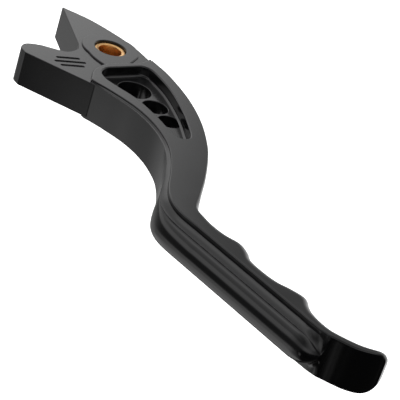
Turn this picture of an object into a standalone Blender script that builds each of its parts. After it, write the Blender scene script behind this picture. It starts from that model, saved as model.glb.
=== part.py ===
"""Front brake lever of a motorcycle: one milled aluminium body and its bronze pivot bush.

The frame: the origin is on the pivot axis at half thickness, +Z runs along that axis, +X along
the finger grip and +Y forward, away from the rider. The upper and lower sides mirror each other.
All values below are in millimetres. A piece is turned into metres when its mesh is made.
"""

import math

import bmesh
import bpy
from mathutils import Vector

MM = 0.001

# Half thicknesses, measured from the middle plane.
ARM_HALF = 6.25
LAND_HALF = 6.8
BLADE_HALF = 7.3
FLOOR_HALF = 3.4
CUTTER_REACH = 12.0

# The pivot: a bore with a pressed bush, and a round land about it.
BUSH_RADIUS = 5.55
BUSH_BORE_RADIUS = 4.0
BUSH_HALF = 6.0
BUSH_CHAMFER = 0.3
FIT_GAP = 0.3
LAND_RADIUS = 10.2

# The head's outline: the horn, the notch and the arm that pushes the plunger.
HORN_TIP = (-31.3, 2.7)
HEAD_FRONT = [HORN_TIP, (-20.4, 7.5), (-7.4, 10.2), (2.0, 10.7), (10.6, 9.8)]
HEAD_INSIDE = [(16.0, 6.0), (17.0, -14.0), (24.5, -20.5)]
ARM_REAR = [(20.6, -23.0), (-4.7, -34.0)]
ARM_END = [(-4.7, -34.0), (-8.2, -33.2), (-10.2, -30.4), (-9.7, -27.4), (-8.0, -24.4)]
NOTCH_ROOT = [(-4.0, -20.4), (-2.2, -18.2), (-2.0, -15.6), (-3.2, -12.0), (-5.9, -9.8)]
LAND_TAIL = [(0.0, -10.2), (4.5, -10.9), (10.0, -10.4), (15.0, -8.0)]

# The raised left end of the blade, then the pocket inside the blade.
LIP_END = [(10.5, 9.7), (11.9, 3.2), (10.4, -5.0), (9.8, -10.8), (12.3, -17.7), (18.0, -23.4)]
LIP_INSIDE = [(26.0, -19.0), (22.0, 7.5)]
POCKET_FAR = [(14.4, 2.6), (16.4, 4.1), (19.5, 4.1), (30.6, 1.5), (44.6, -4.6), (56.2, -11.4)]
POCKET_END = [(56.2, -11.4), (58.9, -14.2), (58.1, -17.2), (54.8, -18.0)]
POCKET_NEAR = [(54.8, -18.0), (44.4, -15.9), (33.3, -15.0), (24.7, -16.4), (18.9, -17.3)]
POCKET_START = [(18.9, -17.3), (14.8, -16.0), (12.5, -12.2), (13.2, -6.0), (14.4, 2.6)]
WINDOWS = [((22.3, -6.2), 5.8), ((33.9, -6.7), 4.5), ((43.2, -8.2), 4.0)]

# The front of the grip: finger valleys between two peaks, as points along its edge.
GRIP_FRONT = [(103.0, -40.35), (107.5, -39.95), (112.4, -38.6), (116.6, -39.75), (120.4, -41.8)]
GRIP_FRONT += [(126.0, -42.15), (131.6, -41.6), (136.4, -39.75), (140.9, -38.8), (144.3, -40.85)]
GRIP_FRONT += [(147.0, -42.15)]
CREST_Y = -51.3
# The cove's floor rises to the foot of a wall. Near the tip the wall takes over from the spine.
COVE_RISE = 0.28
COVE_FOOT = 5.4
SPINE_ENDS = (0.9, 0.2)
# The tip's corners, above and below, as length along the tip and height.
TIP_CORNERS = ((4.2, 3.9), (6.0, 4.3))


def grip_station(x, front_y):
    """A station on the straight grip, laid out as STATIONS says."""
    return (x, front_y, x, CREST_Y, 3.0, 4.5, 3.25, 4.2, 0.6)


# Stations along the blade and the grip, each with the front edge x and y, the crest x and y, the
# width of the cove from crest to wall, the crest's half height, the bulge of the spine behind the
# crest, the rounding of the front and the rounding of the rim.
STATIONS = [
    (12.0, 9.8, 18.6, -23.5, 0.4, 6.6, 0.0, 0.7, 0.3),
    (22.4, 8.8, 27.0, -22.1, 1.1, 6.5, 0.0, 0.7, 0.3),
    (37.3, 4.7, 38.0, -20.6, 1.1, 6.5, 0.0, 0.7, 0.3),
    (51.2, -1.7, 48.5, -21.7, 1.1, 6.5, 0.0, 0.7, 0.3),
    (63.8, -10.1, 58.5, -25.3, 1.2, 6.5, 0.0, 0.7, 0.3),
    (72.0, -17.3, 66.0, -30.2, 1.3, 6.4, 0.0, 0.7, 0.3),
    (80.3, -25.8, 73.2, -36.8, 1.4, 6.1, 0.0, 0.8, 0.35),
    (88.0, -34.6, 79.6, -43.8, 1.8, 5.5, 0.3, 1.0, 0.5),
    (93.5, -39.9, 85.2, -48.6, 2.7, 5.0, 1.4, 1.9, 0.6),
    (98.4, -40.5, 92.5, -51.1, 3.0, 4.65, 2.8, 3.2, 0.6),
    *[grip_station(x, y) for x, y in GRIP_FRONT],
    (150.2, -43.0, 150.5, -51.3, 2.9, 4.5, 3.2, 3.8, 0.6),
    (152.3, -43.3, 152.8, -51.1, 2.8, 4.25, 3.15, 3.6, 0.6),
    (154.0, -43.35, 154.8, -50.8, 2.55, 3.6, 2.9, 3.5, 0.6),
    (155.2, -43.3, 156.4, -50.35, 2.3, 2.7, 2.3, 3.4, 0.6),
    (156.0, -43.2, 157.5, -49.7, 1.85, 1.8, 1.6, 3.3, 0.6),
    (156.7, -43.05, 158.2, -49.1, 1.35, 1.0, 0.9, 3.2, 0.6),
    (157.3, -42.9, 158.8, -48.45, 0.95, 0.3, 0.3, 3.1, 0.6),
    (158.4, -42.5, 159.9, -47.0, 0.1, 0.0, 0.0, 3.1, 0.6),
    (161.4, -41.2, 162.8, -45.6, 0.0, 0.0, 0.0, 3.1, 0.6),
    (164.3, -39.6, 166.1, -43.8, 0.0, 0.0, 0.0, 3.1, 0.6),
    (167.4, -37.3, 169.2, -40.8, 0.0, 0.0, 0.0, 2.6, 0.6),
    (168.9, -35.7, 170.5, -38.7, 0.0, 0.0, 0.0, 2.2, 0.6),
    (169.8, -34.8, 170.9, -37.3, 0.0, 0.0, 0.0, 1.7, 0.5),
    (170.4, -34.3, 171.2, -36.5, 0.0, 0.0, 0.0, 1.3, 0.3),
]
STEPS = 3
ARC_STEPS = 3


def smooth(rows, steps):
    """A Catmull-Rom curve through rows of numbers, with so many steps from each row to the next."""
    rows = [Vector(row) for row in rows]
    ends = [2 * rows[0] - rows[1]] + rows + [2 * rows[-1] - rows[-2]]
    found = []
    for a, b, c, d in zip(ends, ends[1:], ends[2:], ends[3:]):
        for i in range(steps):
            t = i / steps
            bend = (2 * a - 5 * b + 4 * c - d) * t * t + (3 * b - a - 3 * c + d) * t**3
            found.append(b + 0.5 * ((c - a) * t + bend))
    return found + [rows[-1]]


def arc(centre, radius, first, last, steps):
    """Points on a circle from one angle to another, in degrees, both ends included."""
    angles = [math.radians(first + (last - first) * i / steps) for i in range(steps + 1)]
    return [(centre[0] + radius * math.cos(a), centre[1] + radius * math.sin(a)) for a in angles]


def aluminium():
    """Black anodised aluminium with a satin gloss."""
    return principled("black_anodised_aluminium", (0.018, 0.019, 0.021, 1.0), 0.34, 0.55)


def bronze():
    """Turned bearing bronze."""
    return principled("bearing_bronze", (0.72, 0.42, 0.16, 1.0), 0.3, 1.0)


def principled(name, colour, roughness, metallic):
    material = bpy.data.materials.new(name)
    material.use_nodes = True
    shader = material.node_tree.nodes["Principled BSDF"]
    shader.inputs["Base Color"].default_value = colour
    shader.inputs["Roughness"].default_value = roughness
    shader.inputs["Metallic"].default_value = metallic
    return material


def add_object(name, bm, material=None):
    """Makes an object of the mesh, in metres, with its faces pointing out."""
    bmesh.ops.recalc_face_normals(bm, faces=bm.faces)
    bmesh.ops.scale(bm, vec=(MM, MM, MM), verts=bm.verts)
    mesh = bpy.data.meshes.new(name)
    bm.to_mesh(mesh)
    bm.free()
    mesh.shade_smooth()
    mesh.set_sharp_from_angle(angle=math.radians(30))
    if material:
        mesh.materials.append(material)
    made = bpy.data.objects.new(name, mesh)
    bpy.context.scene.collection.objects.link(made)
    return made


def prism(name, outline, low, high):
    """A closed outline pulled up from one height to another. It is a helper, so it is hidden."""
    bm = bmesh.new()
    floor = bm.faces.new([bm.verts.new((p[0], p[1], low)) for p in outline])
    pulled = bmesh.ops.extrude_face_region(bm, geom=[floor])
    raised = [v for v in pulled["geom"] if isinstance(v, bmesh.types.BMVert)]
    bmesh.ops.translate(bm, vec=(0, 0, high - low), verts=raised)
    helper = add_object(name, bm)
    helper.hide_render = True
    helper.display_type = "WIRE"
    return helper


def apply_boolean(body, helper, operation):
    """Joins the helper to the body, or cuts it away."""
    step = body.modifiers.new(helper.name, "BOOLEAN")
    step.operation = operation
    step.object = helper


def quarter(steps):
    """Angles from 0 to 90 degrees, in radians, both ends included."""
    return [math.radians(90 * i / steps) for i in range(steps + 1)]


def profile(row):
    """The upper half of one section, from the spine's middle to the front's middle, as (p, z).

    p is measured from the crest towards the front.
    """
    cove, crest_half, bulge, rounding, rim = (max(value, 0.0) for value in row[4:9])
    half = BLADE_HALF
    depth = (Vector(row[0:2]) - Vector(row[2:4])).length
    upright = min(1.8 * rounding, 0.6 * half)
    rise = max(COVE_RISE * cove, COVE_FOOT - crest_half)
    rise = min(rise, 0.8 * (half - rim - crest_half))
    rear = [(-bulge * math.cos(a), crest_half * math.sin(a)) for a in quarter(ARC_STEPS)]
    rear += [(0.5 * cove, crest_half + 0.3 * rise), (cove, crest_half + rise)]
    # The plain wall of the tip, evenly spaced, for the sections that have no spine.
    plain = min(max((SPINE_ENDS[0] - crest_half) / (SPINE_ENDS[0] - SPINE_ENDS[1]), 0.0), 1.0)
    points = []
    for i, (p, z) in enumerate(rear):
        even = 0.9 * (half - rim) * i / (len(rear) - 1)
        points.append((p + (cove - p) * plain, z + (even - z) * plain))
    for a in quarter(2):
        points.append((cove + rim * (1 - math.cos(a)), half - rim * (1 - math.sin(a))))
    nose = depth - rounding
    for a in quarter(ARC_STEPS):
        points.append((nose + rounding * math.sin(a), half - upright * (1 - math.cos(a))))
    return points + [(depth, 0.0)]


def tip_limit(corner, gap):
    """How high the section reaches, as a share of its height, at a distance from the tip's end."""
    along, high = corner
    if gap > along:
        return 1.0
    return 1 - high / BLADE_HALF * (1 - math.sqrt(1 - (1 - gap / along) ** 2))


def blade_and_grip():
    """The long part of the lever, lofted through its stations from the pivot's land to the tip."""
    rows = smooth(STATIONS, STEPS)
    last = Vector(rows[-1][0:2]) + Vector(rows[-1][2:4])
    bm = bmesh.new()
    rings = []
    for row in rows:
        front, crest = Vector(row[0:2]), Vector(row[2:4])
        across = (front - crest).normalized()
        gap = (front + crest - last).length / 2 if crest.x > 150 else math.inf
        above, below = (tip_limit(corner, gap) for corner in TIP_CORNERS)
        upper = profile(row)
        ring = [(p, z * above) for p, z in upper] + [(p, -z * below) for p, z in upper[-2:0:-1]]
        rings.append([bm.verts.new((*(crest + across * p), z)) for p, z in ring])
    for near, far in zip(rings, rings[1:]):
        for i in range(len(near)):
            j = (i + 1) % len(near)
            bm.faces.new((near[i], near[j], far[j], far[i]))
    bm.faces.new(rings[0])
    bm.faces.new(reversed(rings[-1]))
    return add_object("lever_body", bm, aluminium())


def head_outline():
    """The horn, the arm and the notch between them, closed inside the blade."""
    front = smooth(HEAD_FRONT, STEPS)
    end = smooth(ARM_END, STEPS)
    root = smooth(NOTCH_ROOT, STEPS)
    return front + HEAD_INSIDE + ARM_REAR[:1] + end + root


def land_outline():
    """The round land about the pivot, with the tail that runs into the blade's raised end."""
    return arc((0, 0), LAND_RADIUS, 40, 264, 20) + smooth(LAND_TAIL, 2)


def pocket_outline():
    far = smooth(POCKET_FAR, 2)[:-1]
    end = smooth(POCKET_END, 2)[:-1]
    near = smooth(POCKET_NEAR, 2)[:-1]
    return far + end + near + smooth(POCKET_START, 2)[:-1]


def lever_body():
    """The blade and grip joined to the head, then the pockets, the windows and the bore."""
    body = blade_and_grip()
    lip = smooth(LIP_END, STEPS) + LIP_INSIDE
    head = prism("head_block", head_outline(), -ARM_HALF, ARM_HALF)
    land = prism("land_block", land_outline(), -LAND_HALF, LAND_HALF)
    raised = prism("lip_block", lip, -BLADE_HALF, BLADE_HALF)
    for helper in (raised, head, land):
        apply_boolean(body, helper, "UNION")
    pocket = pocket_outline()
    cutters = [
        prism("upper_pocket_cutter", pocket, FLOOR_HALF, CUTTER_REACH),
        prism("lower_pocket_cutter", pocket, -CUTTER_REACH, -FLOOR_HALF),
    ]
    holes = WINDOWS + [((0.0, 0.0), BUSH_RADIUS + FIT_GAP)]
    for number, (centre, radius) in enumerate(holes):
        outline = arc(centre, radius, 0, 360, 32)[:-1]
        cutters.append(prism(f"hole_cutter_{number}", outline, -CUTTER_REACH, CUTTER_REACH))
    for helper in cutters:
        apply_boolean(body, helper, "DIFFERENCE")


def pivot_bush():
    """A short tube with chamfered rims, turned about the pivot axis."""
    inner, outer, half, chamfer = BUSH_BORE_RADIUS, BUSH_RADIUS, BUSH_HALF, BUSH_CHAMFER
    profile = [
        (outer - chamfer, half),
        (outer, half - chamfer),
        (outer, chamfer - half),
        (outer - chamfer, -half),
        (inner + chamfer, -half),
        (inner, chamfer - half),
        (inner, half - chamfer),
        (inner + chamfer, half),
    ]
    bm = bmesh.new()
    corners = [bm.verts.new((radius, 0, z)) for radius, z in profile]
    edges = [bm.edges.new((a, b)) for a, b in zip(corners, corners[1:] + corners[:1])]
    bmesh.ops.spin(
        bm, geom=edges, axis=(0, 0, 1), cent=(0, 0, 0), angle=math.tau, steps=48, use_merge=True
    )
    add_object("pivot_bush", bm, bronze())


def main():
    for thing in list(bpy.data.objects):
        bpy.data.objects.remove(thing)
    lever_body()
    pivot_bush()


main()
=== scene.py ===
"""The looks of the front brake lever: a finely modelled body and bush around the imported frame.

Lengths below are in millimetres and turned into metres when a mesh is made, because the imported
frame is in metres. The origin is on the pivot axis at half thickness, +Z runs along that axis, +X
along the finger grip and +Y forward. The upper and lower sides of the lever mirror each other.
"""

import math

import bmesh
import bpy
from mathutils import Matrix, Vector


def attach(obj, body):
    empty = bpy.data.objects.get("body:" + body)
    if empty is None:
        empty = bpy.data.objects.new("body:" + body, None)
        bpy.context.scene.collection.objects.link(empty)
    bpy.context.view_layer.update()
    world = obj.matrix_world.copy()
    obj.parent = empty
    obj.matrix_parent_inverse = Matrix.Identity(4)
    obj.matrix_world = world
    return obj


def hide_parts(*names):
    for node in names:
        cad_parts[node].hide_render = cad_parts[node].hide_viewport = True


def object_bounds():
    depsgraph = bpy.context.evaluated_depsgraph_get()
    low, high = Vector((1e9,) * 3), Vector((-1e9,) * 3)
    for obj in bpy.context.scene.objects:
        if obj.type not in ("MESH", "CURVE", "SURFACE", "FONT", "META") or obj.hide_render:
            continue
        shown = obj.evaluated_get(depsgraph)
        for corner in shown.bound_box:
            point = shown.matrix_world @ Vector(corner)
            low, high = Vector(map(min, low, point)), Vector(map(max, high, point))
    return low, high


MM = 0.001

# Half thicknesses, measured from the middle plane.
ARM_HALF = 6.25
LAND_HALF = 6.8
BLADE_HALF = 7.3
FLOOR_HALF = 3.4
CUTTER_REACH = 12.0
HOLE_REACH = 0.05
# A sharp corner of an outline moves at most 1 / MITRE_LIMIT times as far as its sides.
MITRE_LIMIT = 0.35

# Rounding of the edges, from the mill's deburring tool and the polishing after it. The pocket's
# corners are averaged away over points POCKET_SPACING apart, in POCKET_PASSES rounds.
ARM_EDGE = 0.3
LAND_EDGE = 0.3
LIP_EDGE = 0.7
POCKET_EDGE = 0.55
POCKET_FILLET = 1.1
POCKET_SPACING = 0.45
POCKET_PASSES = 10
WINDOW_EDGE = 0.25
CREST_STEP = 0.3
# Degrees about a rounded rim. The last one stops short of level, so that no face is a sliver.
RIM_ANGLES = (0, 18, 36, 54, 72, 84)
BODY_SHARP_ANGLE = 32
NORMAL_WEIGHT = 60

# The pivot: a bore with a pressed bush, and a round land about it.
BUSH_RADIUS = 5.55
BUSH_BORE_RADIUS = 4.0
BUSH_HALF = 6.0
BORE_CHAMFER = 0.35
PRESS_GAP = 0.04
LAND_RADIUS = 10.2
# The bush's outer chamfer and the lead into its bore, each with a small break at its foot, given
# across and along where the two differ.
BUSH_CHAMFER = 0.3
BUSH_BREAK = 0.08
BORE_LEAD = (0.55, 0.6)
BORE_BREAK = (0.12, 0.25)
BUSH_SEAM_ANGLE = 62.0
BUSH_SEAM_GAP = 0.12
BUSH_SHARP_ANGLE = 40

# The camera: azimuth, elevation and roll in degrees, place in millimetres, and lens.
CAMERA_TURNS = (39.5, 28.5, 18.0)
CAMERA_PLACE = (383.0, -392.7, 257.4)
CAMERA_LENS = 155.7

# The studio, in metres. The floor's section is given as radius and height above its middle. It lies
# below the lever, and its glow washes out the shadow that the lamp throws on it.
FLOOR_GLOW = 0.5
FLOOR_DROP = 0.05
FLOOR_LINE = [(0.02, 0.0), (0.6, 0.0), (1.2, 0.0), (1.5, 0.02), (1.8, 0.12)]
FLOOR_LINE += [(2.0, 0.32), (2.1, 0.7), (2.12, 1.5), (2.12, 2.6)]
FLOOR_SIDES = 96
LAMP_WATTS = 16.0
LAMP_SIZE = 1.6
LAMP_PLACE = (0.05, 0.0, 1.5)
WORLD_PEAK = 4.0
# Each row of light: the heights between which it takes over from the row below it, in degrees,
# and its brightness by bearing, in degrees from +X round to +Y.
WORLD_ROWS = [
    (-90, -90, [(-180, 0.8), (-150, 0.9), (-128, 1.3), (-105, 0.3), (-80, 0.02), (0, 0.02),
                (90, 0.1), (120, 0.0), (142, 0.05), (160, 0.4), (180, 0.8)]),
    (-44, -36, [(-180, 0.45), (-165, 0.41), (-150, 0.55), (-134, 0.82), (-120, 1.05), (-112, 1.05),
                (-98, 0.1), (-94, 0.0), (-90.3, 0.0), (-86, 1.15), (-81, 0.6), (-76, 0.0),
                (40, 0.02), (85, 1.2), (112, 1.2), (125, 0.6), (135, 0.3), (150, 0.25),
                (180, 0.45)]),
    (-27, -21, [(-180, 0.4), (-150, 0.2), (-140, 0.12), (-120, 0.1), (-90, 0.08), (-75, 0.0),
                (40, 0.02), (85, 1.2), (112, 1.2), (125, 0.6), (135, 0.3), (150, 0.25),
                (180, 0.4)]),
    (4, 13, [(-180, 1.3), (-127, 1.25), (-100, 0.6), (-80, 0.6), (-60, 1.0), (-30, 0.9),
             (10, 0.3), (45, 0.12), (75, 0.7), (95, 1.0), (112, 0.85), (120, 0.42), (127, 0.38),
             (129.5, 0.46), (131, 0.9), (136, 1.45), (180, 1.3)]),
    (31, 39, [(-180, 1.0), (-140, 0.7), (-118, 0.45), (-100, 0.25), (-70, 0.2), (-35, 0.6),
              (10, 0.8), (90, 0.6), (125, 0.6), (150, 0.75), (180, 1.0)]),
    (47, 58, [(-180, 1.3), (-160, 0.85), (-135, 0.7), (-110, 0.4), (-70, 0.15), (-30, 0.5),
              (10, 0.8), (90, 0.9), (140, 1.0), (160, 1.55), (180, 1.3)]),
    (64, 75, [(-180, 0.6), (-120, 0.3), (-50, 0.2), (0, 0.6), (180, 0.6)]),
]

# The head's outline: the horn, the notch and the arm that pushes the plunger.
HORN_TIP = (-31.3, 2.7)
HEAD_FRONT = [HORN_TIP, (-20.4, 7.5), (-7.4, 10.2), (2.0, 10.7), (10.6, 9.8)]
HEAD_INSIDE = [(16.0, 6.0), (17.0, -14.0), (24.5, -20.5)]
ARM_REAR = [(20.6, -23.0), (-4.7, -34.0)]
ARM_END = [(-4.7, -34.0), (-8.2, -33.2), (-10.2, -30.4), (-9.7, -27.4), (-8.0, -24.4)]
NOTCH_ROOT = [(-4.0, -20.4), (-2.2, -18.2), (-2.0, -15.6), (-3.2, -12.0), (-5.9, -9.8)]
LAND_TAIL = [(0.0, -10.2), (4.5, -10.9), (10.0, -10.4), (15.0, -8.0)]

# The raised left end of the blade, then the pocket inside the blade.
LIP_END = [(10.5, 9.7), (11.9, 3.2), (10.4, -5.0), (9.8, -10.8), (12.3, -17.7), (18.0, -23.4)]
LIP_INSIDE = [(26.0, -19.0), (22.0, 7.5)]
POCKET_FAR = [(14.4, 2.6), (16.4, 4.1), (19.5, 4.1), (30.6, 1.5), (44.6, -4.6), (56.2, -11.4)]
POCKET_END = [(56.2, -11.4), (58.9, -14.2), (58.1, -17.2), (54.8, -18.0)]
POCKET_NEAR = [(54.8, -18.0), (44.4, -15.9), (33.3, -15.0), (24.7, -16.4), (18.9, -17.3)]
POCKET_START = [(18.9, -17.3), (14.8, -16.0), (12.5, -12.2), (13.2, -6.0), (14.4, 2.6)]
WINDOWS = [((22.3, -6.2), 5.8), ((33.9, -6.7), 4.5), ((43.2, -8.2), 4.0)]

# Three plain slots milled into the top of the arm.
SLOT_CENTRE = (4.5, -21.5)
SLOT_ANGLE = 69.5
SLOT_PITCH = 2.7
SLOT_LENGTHS = [8.6, 11.4, 8.6]
SLOT_WIDTH = 1.2
SLOT_DEPTH = 0.45
SLOT_FILLET = 0.2
SLOT_EDGE = 0.12

# The front of the grip: finger valleys between the peaks, as points along its edge.
GRIP_FRONT = [(103.0, -40.35), (107.5, -39.95), (112.4, -38.6), (116.6, -39.75), (120.4, -41.8)]
GRIP_FRONT += [(126.0, -42.15), (131.6, -41.6), (136.4, -39.75), (140.9, -38.8), (144.3, -40.85)]
GRIP_FRONT += [(147.0, -42.15)]
CREST_Y = -51.3
# The line along the crest, as distance in front of it and height in steps above the cove's floor.
CREST_LINE = [(0.0, -1.4), (0.03, -0.35), (0.1, -0.05), (0.22, 0.03), (0.4, 0.0)]
# The cove's floor rises to the foot of a wall. Near the tip the wall takes over from the spine.
COVE_RISE = 0.28
COVE_FOOT = 5.4
# How steeply the cove's floor starts, as a share of its mean slope, and the most that it may rise,
# as a share of the height left below the rim.
COVE_START = 0.25
COVE_LIMIT = 0.8
SPINE_ENDS = (0.9, 0.2)
PLAIN_WALL = 0.9
# The front's rounding is taller than it is deep, up to a share of half the height.
FRONT_STRETCH = 1.8
FRONT_LIMIT = 0.6
# The tip's corners, above and below, as length along the tip and height, and where they may begin.
TIP_CORNERS = ((4.2, 3.9), (6.0, 4.3))
TIP_START_X = 150.0


def grip_station(x, front_y):
    """A station on the straight grip, laid out as STATIONS says."""
    return (x, front_y, x, CREST_Y, 3.0, 4.5, 3.25, 4.2, 0.6, CREST_STEP)


# Stations along the blade and the grip, each with the front edge x and y, the crest x and y, the
# width of the cove from crest to rim, the crest's half height, the bulge of the spine behind the
# crest, the rounding of the front, the rounding of the rim and the little step at the crest.
STATIONS = [
    (12.0, 9.8, 18.6, -23.5, 0.4, 6.6, 0.0, 0.7, 0.3, 0.0),
    (22.4, 8.8, 27.0, -22.1, 1.1, 6.5, 0.0, 0.7, 0.3, 0.0),
    (37.3, 4.7, 38.0, -20.6, 1.1, 6.5, 0.0, 0.7, 0.3, 0.0),
    (51.2, -1.7, 48.5, -21.7, 1.1, 6.5, 0.0, 0.7, 0.3, 0.0),
    (63.8, -10.1, 58.5, -25.3, 1.2, 6.5, 0.0, 0.7, 0.3, 0.0),
    (72.0, -17.3, 66.0, -30.2, 1.3, 6.4, 0.0, 0.7, 0.3, 0.0),
    (80.3, -25.8, 73.2, -36.8, 1.4, 6.1, 0.0, 0.8, 0.35, 0.0),
    (88.0, -34.6, 79.6, -43.8, 1.8, 5.5, 0.3, 1.0, 0.5, 0.0),
    (93.5, -39.9, 85.2, -48.6, 2.7, 5.0, 1.4, 1.9, 0.6, 0.5 * CREST_STEP),
    (98.4, -40.5, 92.5, -51.1, 3.0, 4.65, 2.8, 3.2, 0.6, CREST_STEP),
    *[grip_station(x, y) for x, y in GRIP_FRONT],
    (150.2, -43.0, 150.5, -51.3, 2.9, 4.5, 3.2, 3.8, 0.6, 0.7 * CREST_STEP),
    (152.3, -43.3, 152.8, -51.1, 2.8, 4.25, 3.15, 3.6, 0.6, 0.2 * CREST_STEP),
    (154.0, -43.35, 154.8, -50.8, 2.55, 3.6, 2.9, 3.5, 0.6, 0.0),
    (155.2, -43.3, 156.4, -50.35, 2.3, 2.7, 2.3, 3.4, 0.6, 0.0),
    (156.0, -43.2, 157.5, -49.7, 1.85, 1.8, 1.6, 3.3, 0.6, 0.0),
    (156.7, -43.05, 158.2, -49.1, 1.35, 1.0, 0.9, 3.2, 0.6, 0.0),
    (157.3, -42.9, 158.8, -48.45, 0.95, 0.3, 0.3, 3.1, 0.6, 0.0),
    (158.4, -42.5, 159.9, -47.0, 0.1, 0.0, 0.0, 3.1, 0.6, 0.0),
    (161.4, -41.2, 162.8, -45.6, 0.0, 0.0, 0.0, 3.1, 0.6, 0.0),
    (164.3, -39.6, 166.1, -43.8, 0.0, 0.0, 0.0, 3.1, 0.6, 0.0),
    (167.4, -37.3, 169.2, -40.8, 0.0, 0.0, 0.0, 2.6, 0.6, 0.0),
    (168.9, -35.7, 170.5, -38.7, 0.0, 0.0, 0.0, 2.2, 0.6, 0.0),
    (169.8, -34.8, 170.9, -37.3, 0.0, 0.0, 0.0, 1.7, 0.5, 0.0),
    (170.4, -34.3, 171.2, -36.5, 0.0, 0.0, 0.0, 1.3, 0.3, 0.0),
]
STEPS = 12
SPINE_STEPS = 14
EDGE_STEPS = 5
FRONT_STEPS = 9
COVE_STEPS = 7
OUTLINE_STEPS = 8
LAND_STEPS = 72
SLOT_STEPS = 12
HOLE_SIDES = 96
BUSH_SIDES = 128

# Colours of the finishes.
DYE_DARK = (0.0025, 0.0026, 0.0029)
DYE_LIGHT = (0.0042, 0.0043, 0.0046)
# Grey of the painted highlight that lightens the lever's convex edges.
PAINTED_EDGE_GREY = (0.16, 0.16, 0.165)
BRONZE_BRIGHT = (0.80, 0.47, 0.19)
BRONZE_DULL = (0.56, 0.33, 0.14)


def smooth(rows, steps):
    """A Catmull-Rom curve through rows of numbers, with so many steps from each row to the next."""
    rows = [Vector(row) for row in rows]
    ends = [2 * rows[0] - rows[1]] + rows + [2 * rows[-1] - rows[-2]]
    found = []
    for a, b, c, d in zip(ends, ends[1:], ends[2:], ends[3:]):
        for i in range(steps):
            t = i / steps
            bend = (2 * a - 5 * b + 4 * c - d) * t * t + (3 * b - a - 3 * c + d) * t**3
            found.append(b + 0.5 * ((c - a) * t + bend))
    return found + [rows[-1]]


def arc(centre, radius, first, last, steps):
    """Points on a circle from one angle to another, in degrees, both ends included."""
    angles = [math.radians(first + (last - first) * i / steps) for i in range(steps + 1)]
    return [(centre[0] + radius * math.cos(a), centre[1] + radius * math.sin(a)) for a in angles]


def quarter(steps):
    """Angles from 0 to 90 degrees, in radians, both ends included."""
    return [math.radians(90 * i / steps) for i in range(steps + 1)]


def signed_area(outline):
    pairs = zip(outline, outline[1:] + outline[:1])
    return sum(a[0] * b[1] - b[0] * a[1] for a, b in pairs) / 2


def offset(outline, distance):
    """The outline moved outwards, or inwards for a negative distance, with mitred corners."""
    points = [Vector(p) for p in outline]
    turn = 1 if signed_area(points) > 0 else -1
    moved = []
    for before, here, after in zip(points[-1:] + points[:-1], points, points[1:] + points[:1]):
        first, second = (here - before).normalized(), (after - here).normalized()
        normal_1 = turn * Vector((first.y, -first.x))
        normal_2 = turn * Vector((second.y, -second.x))
        middle = (normal_1 + normal_2).normalized()
        reach = distance / max(middle.dot(normal_1), MITRE_LIMIT)
        moved.append(here + middle * reach)
    return moved


def skin(bm, rings):
    """Covers the space between each ring of points and the next with four-sided faces."""
    for near, far in zip(rings, rings[1:]):
        for i in range(len(near)):
            j = (i + 1) % len(near)
            bm.faces.new((near[i], near[j], far[j], far[i]))


def add_object(name, bm, material=None):
    """Makes an object of the mesh, in metres, with its faces pointing out."""
    bmesh.ops.recalc_face_normals(bm, faces=bm.faces)
    bmesh.ops.scale(bm, vec=(MM, MM, MM), verts=bm.verts)
    mesh = bpy.data.meshes.new(name)
    bm.to_mesh(mesh)
    bm.free()
    mesh.shade_smooth()
    if material:
        mesh.materials.append(material)
    made = bpy.data.objects.new(name, mesh)
    bpy.context.scene.collection.objects.link(made)
    return made


def stack(name, outline, levels):
    """A closed solid from one outline, given as (height, distance moved outwards) levels."""
    bm = bmesh.new()
    rings = []
    for height, distance in levels:
        rings.append([bm.verts.new((p[0], p[1], height)) for p in offset(outline, distance)])
    skin(bm, rings)
    bm.faces.new(rings[0])
    bm.faces.new(rings[-1])
    return add_object(name, bm)


def rounded_plate(name, outline, half, radius):
    """A plate as thick as twice half, with its upper and lower edges rounded."""
    upper = []
    for a in quarter(EDGE_STEPS):
        upper.append((half - radius * (1 - math.sin(a)), radius * (math.cos(a) - 1)))
    lower = [(-z, moved) for z, moved in reversed(upper)]
    return stack(name, outline, lower + upper)


def pocket_cutter(name, outline, side):
    """Cuts a pocket with a round fillet about its floor and a rounded rim."""
    levels = []
    for a in quarter(2 * EDGE_STEPS):
        height = FLOOR_HALF + POCKET_FILLET * (1 - math.cos(a))
        levels.append((height, -POCKET_FILLET * (1 - math.sin(a))))
    levels += rim_flare(BLADE_HALF, POCKET_EDGE)
    return stack(name, outline, [(side * z, moved) for z, moved in levels])


def rim_flare(top, radius, reach=CUTTER_REACH):
    """Levels of a cutter that rounds the rim where it comes out through a face at height top."""
    levels = []
    for degrees in RIM_ANGLES:
        a = math.radians(degrees)
        levels.append((top - radius * (1 - math.sin(a)), radius * (1 - math.cos(a))))
    return levels + [(reach, radius)]


def hole_cutter(name, centre, radius, top, edge):
    """Cuts a round hole right through, and rounds its rims at heights top and minus top.

    It ends just above its rims, so that a window beside the pocket's wall leaves the wall alone.
    """
    outline = arc(centre, radius, 0, 360, HOLE_SIDES)[:-1]
    upper = rim_flare(top, edge, top + HOLE_REACH)
    return stack(name, outline, [(-z, moved) for z, moved in reversed(upper)] + upper)


def slot_cutter(name, centre, length):
    """Cuts one shallow slot with round ends along the arm."""
    along = Vector((math.cos(math.radians(SLOT_ANGLE)), math.sin(math.radians(SLOT_ANGLE))))
    reach = along * (length - SLOT_WIDTH) / 2
    radius = SLOT_WIDTH / 2
    far = arc(centre + reach, radius, SLOT_ANGLE - 90, SLOT_ANGLE + 90, SLOT_STEPS)
    near = arc(centre - reach, radius, SLOT_ANGLE + 90, SLOT_ANGLE + 270, SLOT_STEPS)
    floor = ARM_HALF - SLOT_DEPTH
    foot = 0.3 * SLOT_FILLET
    levels = [(floor, -SLOT_FILLET), (floor + foot, -foot), (floor + SLOT_FILLET, 0.0)]
    return stack(name, far + near, levels + rim_flare(ARM_HALF, SLOT_EDGE))


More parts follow.
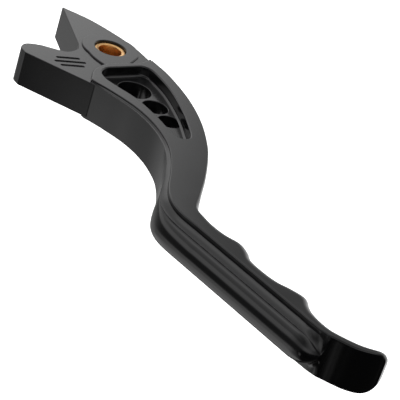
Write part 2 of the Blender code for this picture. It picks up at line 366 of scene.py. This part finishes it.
def profile(row):
    """The upper half of one section, from the spine's middle to the front's middle, as (p, z).

    p is measured from the crest towards the front.
    """
    front, crest = Vector(row[0:2]), Vector(row[2:4])
    cove, crest_half, bulge, rounding, rim, step = (max(value, 0.0) for value in row[4:10])
    half = BLADE_HALF
    depth = (front - crest).length
    upright = min(FRONT_STRETCH * rounding, FRONT_LIMIT * half)
    rear = []
    for a in quarter(SPINE_STEPS):
        rear.append((-bulge * math.cos(a), crest_half * math.sin(a)))
    # A nick and a fine bead run along the crest.
    floor = crest_half + step
    bead = min(1.0, 0.3 + 3 * step, cove)
    for p, z in CREST_LINE:
        rear.append((p * bead, floor + z * step))
    start = rear[-1][0]
    rise = max(COVE_RISE * (cove - start), COVE_FOOT - floor)
    rise = min(rise, COVE_LIMIT * (half - rim - floor))
    for i in range(1, COVE_STEPS + 1):
        share = i / COVE_STEPS
        climb = COVE_START * share + (1 - COVE_START) * share**2
        rear.append((start + (cove - start) * share, floor + rise * climb))
    # The plain wall of the tip, evenly spaced, for the sections that have no spine.
    plain = min(max((SPINE_ENDS[0] - crest_half) / (SPINE_ENDS[0] - SPINE_ENDS[1]), 0.0), 1.0)
    points = []
    for i, (p, z) in enumerate(rear):
        even = PLAIN_WALL * (half - rim) * i / (len(rear) - 1)
        points.append((p + (cove - p) * plain, z + (even - z) * plain))
    for a in quarter(EDGE_STEPS):
        points.append((cove + rim * (1 - math.cos(a)), half - rim * (1 - math.sin(a))))
    nose = depth - rounding
    for a in quarter(FRONT_STEPS):
        points.append((nose + rounding * math.sin(a), half - upright * (1 - math.cos(a))))
    return points + [(depth, 0.0)]


def tip_limit(corner, gap):
    """How high the section reaches, as a share of its height, at a distance from the tip's end."""
    along, high = corner
    if gap > along:
        return 1.0
    return 1 - high / BLADE_HALF * (1 - math.sqrt(1 - (1 - gap / along) ** 2))


def blade_and_grip(material):
    """The long part of the lever, lofted through its stations from the pivot's land to the tip."""
    rows = smooth(STATIONS, STEPS)
    last = Vector(rows[-1][0:2]) + Vector(rows[-1][2:4])
    bm = bmesh.new()
    rings = []
    for row in rows:
        front, crest = Vector(row[0:2]), Vector(row[2:4])
        across = (front - crest).normalized()
        gap = (front + crest - last).length / 2 if crest.x > TIP_START_X else math.inf
        above, below = (tip_limit(corner, gap) for corner in TIP_CORNERS)
        upper = profile(row)
        ring = [(p, z * above) for p, z in upper] + [(p, -z * below) for p, z in upper[-2:0:-1]]
        rings.append([bm.verts.new((*(crest + across * p), z)) for p, z in ring])
    skin(bm, rings)
    bm.faces.new(rings[0])
    bm.faces.new(rings[-1])
    return add_object("milled_body", bm, material)


def apply_boolean(body, helper, operation):
    """Joins the helper to the body, or cuts it away, and removes the helper."""
    step = body.modifiers.new(helper.name, "BOOLEAN")
    step.operation = operation
    step.solver = "EXACT"
    step.object = helper
    bpy.context.view_layer.update()
    evaluated = body.evaluated_get(bpy.context.evaluated_depsgraph_get())
    mesh = bpy.data.meshes.new_from_object(evaluated)
    body.modifiers.clear()
    body.data = mesh
    bpy.data.objects.remove(helper)


def head_outline():
    """The horn, the arm and the notch between them, closed inside the blade."""
    front = smooth(HEAD_FRONT, OUTLINE_STEPS)
    end = smooth(ARM_END, OUTLINE_STEPS)
    root = smooth(NOTCH_ROOT, OUTLINE_STEPS)
    return front + HEAD_INSIDE + ARM_REAR[:1] + end + root


def land_outline():
    """The round land about the pivot, with the tail that runs into the blade's raised end."""
    return arc((0, 0), LAND_RADIUS, 40, 264, LAND_STEPS) + smooth(LAND_TAIL, OUTLINE_STEPS)


def pocket_outline():
    """The pocket's walls, with the corners between them rounded as the mill leaves them."""
    sides = (POCKET_FAR, POCKET_END, POCKET_NEAR, POCKET_START)
    return softened([point for side in sides for point in smooth(side, OUTLINE_STEPS)[:-1]])


def softened(outline):
    """The closed outline with evenly spaced points and its corners averaged away."""
    points = [Vector(p) for p in outline]
    even = []
    travelled = 0.0
    for here, after in zip(points, points[1:] + points[:1]):
        length = (after - here).length
        while len(even) * POCKET_SPACING < travelled + length:
            even.append(here.lerp(after, (len(even) * POCKET_SPACING - travelled) / length))
        travelled += length
    for _ in range(POCKET_PASSES):
        sides = zip(even[-1:] + even[:-1], even, even[1:] + even[:1])
        even = [0.25 * before + 0.5 * here + 0.25 * after for before, here, after in sides]
    return even


def milled_body(material):
    """The blade and grip joined to the head, then everything that the mill cuts out of them."""
    body = blade_and_grip(material)
    lip = smooth(LIP_END, OUTLINE_STEPS) + LIP_INSIDE
    apply_boolean(body, rounded_plate("lip", lip, BLADE_HALF, LIP_EDGE), "UNION")
    apply_boolean(body, rounded_plate("head", head_outline(), ARM_HALF, ARM_EDGE), "UNION")
    apply_boolean(body, rounded_plate("land", land_outline(), LAND_HALF, LAND_EDGE), "UNION")
    pocket = pocket_outline()
    cutters = [pocket_cutter("upper_pocket", pocket, 1), pocket_cutter("lower_pocket", pocket, -1)]
    for centre, radius in WINDOWS:
        cutters.append(hole_cutter("window", centre, radius, FLOOR_HALF, WINDOW_EDGE))
    bore = BUSH_RADIUS + PRESS_GAP
    cutters.append(hole_cutter("bore", (0.0, 0.0), bore, LAND_HALF, BORE_CHAMFER))
    side = Vector((math.sin(math.radians(SLOT_ANGLE)), -math.cos(math.radians(SLOT_ANGLE))))
    for i, length in enumerate(SLOT_LENGTHS):
        centre = Vector(SLOT_CENTRE) + side * SLOT_PITCH * (i - 1)
        cutters.append(slot_cutter("slot", centre, length))
    for cutter in cutters:
        apply_boolean(body, cutter, "DIFFERENCE")
    body.data.shade_smooth()
    body.data.set_sharp_from_angle(angle=math.radians(BODY_SHARP_ANGLE))
    normals = body.modifiers.new("even_shading", "WEIGHTED_NORMAL")
    normals.keep_sharp = True
    normals.weight = NORMAL_WEIGHT
    return body


def turned_bush(material):
    """The bronze bush: a turned tube with chamfered rims and the butt seam of its wrapped strip."""
    inner, outer, half = BUSH_BORE_RADIUS, BUSH_RADIUS, BUSH_HALF
    outside = [(outer - BUSH_CHAMFER, half), (outer - BUSH_BREAK, half - BUSH_BREAK)]
    outside += [(outer, half - BUSH_CHAMFER)]
    inside = [(inner, half - BORE_LEAD[1]), (inner + BORE_BREAK[0], half - BORE_BREAK[1])]
    inside += [(inner + BORE_LEAD[0], half)]
    upper = inside + outside
    section = upper + [(r, -z) for r, z in reversed(upper)]
    bm = bmesh.new()
    seam = math.radians(BUSH_SEAM_ANGLE)
    gap = BUSH_SEAM_GAP / outer
    rings = []
    for i in range(BUSH_SIDES + 1):
        a = seam + gap / 2 + (math.tau - gap) * i / BUSH_SIDES
        rings.append([bm.verts.new((r * math.cos(a), r * math.sin(a), z)) for r, z in section])
    skin(bm, rings)
    bm.faces.new(rings[0])
    bm.faces.new(rings[-1])
    bush = add_object("wrapped_bush", bm, material)
    bush.data.set_sharp_from_angle(angle=math.radians(BUSH_SHARP_ANGLE))
    return bush


class Nodes:
    """Short calls for building one material's node tree."""

    def __init__(self, name):
        self.material = bpy.data.materials.new(name)
        self.material.use_nodes = True
        self.tree = self.material.node_tree
        self.shader = self.tree.nodes["Principled BSDF"]
        self.place = self.add("ShaderNodeTexCoord").outputs["Object"]

    def add(self, kind, **settings):
        node = self.tree.nodes.new(kind)
        for name, value in settings.items():
            setattr(node, name, value)
        return node

    def link(self, source, target):
        self.tree.links.new(source, target)

    def noise(self, scale, detail=3.0, stretch=(1.0, 1.0, 1.0)):
        """Noise over the object's own coordinates, with a scale per metre."""
        mapping = self.add("ShaderNodeMapping")
        mapping.inputs["Scale"].default_value = stretch
        self.link(self.place, mapping.inputs["Vector"])
        noise = self.add("ShaderNodeTexNoise")
        noise.inputs["Scale"].default_value = scale
        noise.inputs["Detail"].default_value = detail
        self.link(mapping.outputs["Vector"], noise.inputs["Vector"])
        return noise.outputs["Fac"]

    def spread(self, value, low, high, start=0.0, end=1.0):
        """The value taken from start..end to low..high."""
        node = self.add("ShaderNodeMapRange")
        node.inputs["From Min"].default_value = start
        node.inputs["From Max"].default_value = end
        node.inputs["To Min"].default_value = low
        node.inputs["To Max"].default_value = high
        self.link(value, node.inputs["Value"])
        return node.outputs["Result"]

    def math(self, operation, first, second):
        node = self.add("ShaderNodeMath", operation=operation)
        for socket, value in zip(node.inputs, (first, second)):
            if isinstance(value, (int, float)):
                socket.default_value = value
            else:
                self.link(value, socket)
        return node.outputs["Value"]

    def mix(self, share, first, second):
        """A colour between two, each either a colour or a socket."""
        node = self.add("ShaderNodeMix", data_type="RGBA")
        self.link(share, node.inputs["Factor"])
        for socket, value in zip((node.inputs[6], node.inputs[7]), (first, second)):
            if isinstance(value, tuple):
                socket.default_value = (*value, 1.0)
            else:
                self.link(value, socket)
        return node.outputs[2]

    def edges(self, radius):
        """Near 1 on convex edges and 0 on flats, from the normal that a rounded edge would have."""
        bevel = self.add("ShaderNodeBevel", samples=4)
        bevel.inputs["Radius"].default_value = radius
        geometry = self.add("ShaderNodeNewGeometry")
        dot = self.add("ShaderNodeVectorMath", operation="DOT_PRODUCT")
        self.link(bevel.outputs["Normal"], dot.inputs[0])
        self.link(geometry.outputs["Normal"], dot.inputs[1])
        return self.spread(dot.outputs["Value"], 1.0, 0.0, 0.8, 0.99)

    def bump(self, height, strength, distance, under=None):
        node = self.add("ShaderNodeBump")
        node.inputs["Strength"].default_value = strength
        node.inputs["Distance"].default_value = distance
        self.link(height, node.inputs["Height"])
        if under:
            self.link(under, node.inputs["Normal"])
        return node.outputs["Normal"]

    def finish(self, colour, roughness, normal):
        self.link(colour, self.shader.inputs["Base Color"])
        self.link(roughness, self.shader.inputs["Roughness"])
        self.link(normal, self.shader.inputs["Normal"])
        return self.material


def anodised():
    """Black anodised aluminium: satin, a faint cloud in the dye and a painted highlight of grey on
    convex edges.
    """
    n = Nodes("black_anodised_aluminium")
    n.shader.inputs["Metallic"].default_value = 0.0
    n.shader.inputs["IOR"].default_value = 1.5
    cloud = n.noise(60.0, 4.0)
    grain = n.noise(5200.0, 2.0)
    dye = n.mix(n.spread(cloud, 0.0, 1.0, 0.3, 0.7), DYE_DARK, DYE_LIGHT)
    # Painted highlight: convex edges are lightened in patches towards a metal grey, standing in for
    # the light that their rounding catches.
    edge_highlight = n.math("MULTIPLY", n.edges(0.35 * MM), n.spread(n.noise(420.0, 4.0), 0.0, 1.0, 0.35, 0.75))
    colour = n.mix(n.math("MULTIPLY", edge_highlight, 0.35), dye, PAINTED_EDGE_GREY)
    roughness = n.math("ADD", n.spread(cloud, 0.13, 0.19, 0.3, 0.7), n.spread(grain, -0.03, 0.03))
    normal = n.bump(grain, 0.06, 0.02 * MM)
    return n.finish(colour, roughness, normal)


def bronze():
    """Bearing bronze: turned rings, a little tarnish and a bright rolled surface."""
    n = Nodes("bearing_bronze")
    n.shader.inputs["Metallic"].default_value = 1.0
    tarnish = n.noise(300.0, 4.0)
    rings = n.noise(900.0, 2.0, (0.4, 0.4, 6.0))
    colour = n.mix(n.spread(tarnish, 0.0, 1.0, 0.35, 0.7), BRONZE_BRIGHT, BRONZE_DULL)
    roughness = n.math("ADD", n.spread(tarnish, 0.24, 0.36, 0.3, 0.7), n.spread(rings, -0.04, 0.04))
    normal = n.bump(rings, 0.25, 0.03 * MM)
    return n.finish(colour, roughness, normal)


def paper():
    """The plain pale floor, which glows a little."""
    n = Nodes("pale_floor")
    n.shader.inputs["Specular IOR Level"].default_value = 0.0
    n.shader.inputs["Base Color"].default_value = (0.95, 0.95, 0.95, 1.0)
    n.shader.inputs["Roughness"].default_value = 1.0
    n.shader.inputs["Emission Color"].default_value = (1.0, 1.0, 1.0, 1.0)
    n.shader.inputs["Emission Strength"].default_value = FLOOR_GLOW
    return n.material


def studio_floor(material, box):
    """A round floor under the box, which curves up into a wall. It casts nothing on the lever."""
    bm = bmesh.new()
    rings = []
    for radius, height in FLOOR_LINE:
        circle = arc((0, 0), radius, 0, 360, FLOOR_SIDES)[:-1]
        rings.append([bm.verts.new((x, y, height)) for x, y in circle])
    skin(bm, rings)
    bm.faces.new(rings[0])
    bmesh.ops.recalc_face_normals(bm, faces=bm.faces)
    mesh = bpy.data.meshes.new("studio_floor")
    bm.to_mesh(mesh)
    bm.free()
    mesh.shade_smooth()
    mesh.materials.append(material)
    floor = bpy.data.objects.new("studio_floor", mesh)
    centre = (box[0] + box[1]) / 2
    floor.location = (centre.x, centre.y, box[0].z - FLOOR_DROP)
    bpy.context.scene.collection.objects.link(floor)
    floor.visible_glossy = False
    floor.visible_diffuse = False
    floor.visible_shadow = False


def light_row(tree, bearing, stops):
    """Brightness by bearing, in degrees from +X round to +Y, as a share of the world's peak."""
    node = tree.nodes.new("ShaderNodeValToRGB")
    while len(node.color_ramp.elements) < len(stops):
        node.color_ramp.elements.new(0.5)
    for element, (degrees, value) in zip(node.color_ramp.elements, stops):
        share = value / WORLD_PEAK
        element.position = (degrees + 180) / 360
        element.color = (share, share, share, 1.0)
    tree.links.new(bearing, node.inputs["Fac"])
    return node.outputs["Color"]


def studio_world():
    """Soft light from all round, with one row of brightness for each height that light comes from."""
    world = bpy.data.worlds.new("studio")
    bpy.context.scene.world = world
    world.use_nodes = True
    tree = world.node_tree
    tree.nodes.clear()
    coordinates = tree.nodes.new("ShaderNodeTexCoord")
    split = tree.nodes.new("ShaderNodeSeparateXYZ")
    tree.links.new(coordinates.outputs["Generated"], split.inputs["Vector"])
    bearing = tree.nodes.new("ShaderNodeMath")
    bearing.operation = "ARCTAN2"
    tree.links.new(split.outputs["Y"], bearing.inputs[0])
    tree.links.new(split.outputs["X"], bearing.inputs[1])
    share = tree.nodes.new("ShaderNodeMapRange")
    share.inputs["From Min"].default_value = -math.pi
    share.inputs["From Max"].default_value = math.pi
    tree.links.new(bearing.outputs["Value"], share.inputs["Value"])

    found = light_row(tree, share.outputs["Result"], WORLD_ROWS[0][2])
    for low, high, stops in WORLD_ROWS[1:]:
        above = tree.nodes.new("ShaderNodeMapRange")
        above.interpolation_type = "SMOOTHSTEP"
        above.inputs["From Min"].default_value = math.sin(math.radians(low))
        above.inputs["From Max"].default_value = math.sin(math.radians(high))
        tree.links.new(split.outputs["Z"], above.inputs["Value"])
        mixed = tree.nodes.new("ShaderNodeMix")
        mixed.data_type = "RGBA"
        tree.links.new(above.outputs["Result"], mixed.inputs["Factor"])
        tree.links.new(found, mixed.inputs[6])
        tree.links.new(light_row(tree, share.outputs["Result"], stops), mixed.inputs[7])
        found = mixed.outputs[2]
    background = tree.nodes.new("ShaderNodeBackground")
    background.inputs["Strength"].default_value = WORLD_PEAK
    tree.links.new(found, background.inputs["Color"])
    output = tree.nodes.new("ShaderNodeOutputWorld")
    tree.links.new(background.outputs["Background"], output.inputs["Surface"])


def floor_light():
    """A broad lamp overhead that whitens the floor and leaves no image in the gloss."""
    lamp = bpy.data.lights.new("overhead", "AREA")
    lamp.shape = "DISK"
    lamp.size = LAMP_SIZE
    lamp.energy = LAMP_WATTS
    made = bpy.data.objects.new("overhead", lamp)
    made.location = LAMP_PLACE
    made.visible_glossy = False
    bpy.context.scene.collection.objects.link(made)


def place_camera():
    """The photograph's view: from above the finger grip's back, rolled to the right."""
    azimuth, elevation, roll = (math.radians(value) for value in CAMERA_TURNS)
    right = Vector((math.cos(azimuth), math.sin(azimuth), 0.0))
    forward = Vector((-math.sin(azimuth), math.cos(azimuth), 0.0))
    look = math.cos(elevation) * forward - math.sin(elevation) * Vector((0, 0, 1))
    rise = math.sin(elevation) * forward + math.cos(elevation) * Vector((0, 0, 1))
    x_axis = math.cos(roll) * right + math.sin(roll) * rise
    y_axis = math.cos(roll) * rise - math.sin(roll) * right
    camera = bpy.data.objects.new("camera", bpy.data.cameras.new("camera"))
    camera.data.lens = CAMERA_LENS
    camera.data.sensor_width = 36.0
    camera.data.clip_start = 0.01
    turned = Matrix((x_axis, y_axis, -look)).transposed().to_4x4()
    camera.matrix_world = Matrix.Translation(Vector(CAMERA_PLACE) * MM) @ turned
    bpy.context.scene.collection.objects.link(camera)
    bpy.context.scene.camera = camera


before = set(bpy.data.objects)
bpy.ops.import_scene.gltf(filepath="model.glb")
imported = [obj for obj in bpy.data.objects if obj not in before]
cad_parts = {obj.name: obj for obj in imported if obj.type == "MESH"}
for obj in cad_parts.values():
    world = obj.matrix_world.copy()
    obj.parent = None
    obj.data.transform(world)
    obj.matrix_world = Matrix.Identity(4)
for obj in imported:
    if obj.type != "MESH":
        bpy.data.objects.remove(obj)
cad_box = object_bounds()

body = milled_body(anodised())
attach(body, "root")
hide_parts("lever_body")

bush = turned_bush(bronze())
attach(bush, "root")
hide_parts("pivot_bush")

studio_floor(paper(), cad_box)
studio_world()
floor_light()
place_camera()
bpy.context.scene.view_settings.view_transform = "Standard"
